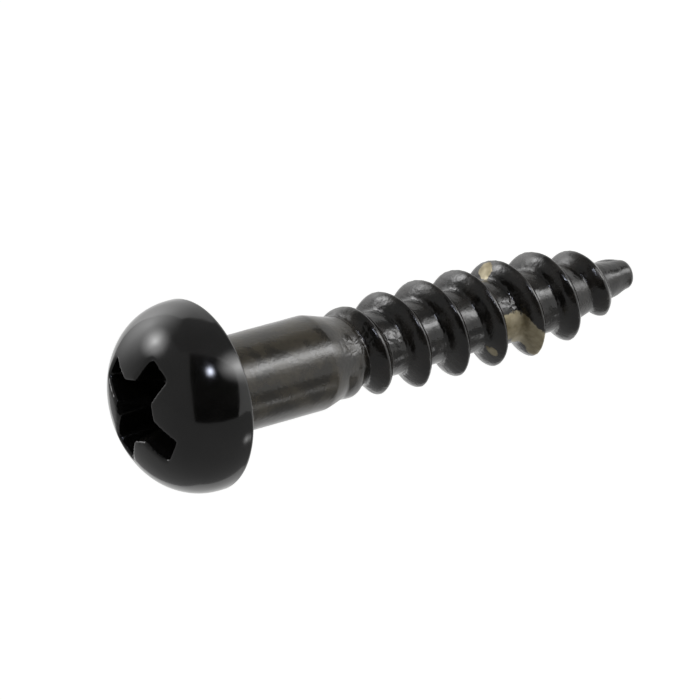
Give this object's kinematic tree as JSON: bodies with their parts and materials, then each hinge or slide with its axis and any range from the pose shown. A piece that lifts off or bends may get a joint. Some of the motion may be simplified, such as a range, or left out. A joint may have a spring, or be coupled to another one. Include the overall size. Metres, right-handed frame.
{
  "type": "wood screw",
  "caption": "Round-head wood screw with a cross recess, a plain shank above a coarse right-hand thread, and a blunt gimlet point.",
  "frame": {"origin": "centre of the head's flat bearing face, on the screw's axis", "axes": "+Z out of the head along the axis, so the shank, thread and point lie along -Z; the first wing of the cross recess is 33.4 degrees from +X towards +Y"},
  "size_m": [0.007, 0.007, 0.0219],
  "materials": {
    "black_lacquered_steel": "gloss"
  },
  "bodies": {
    "root": {"wood_screw": "black_lacquered_steel"}
  },
  "joints": []
}
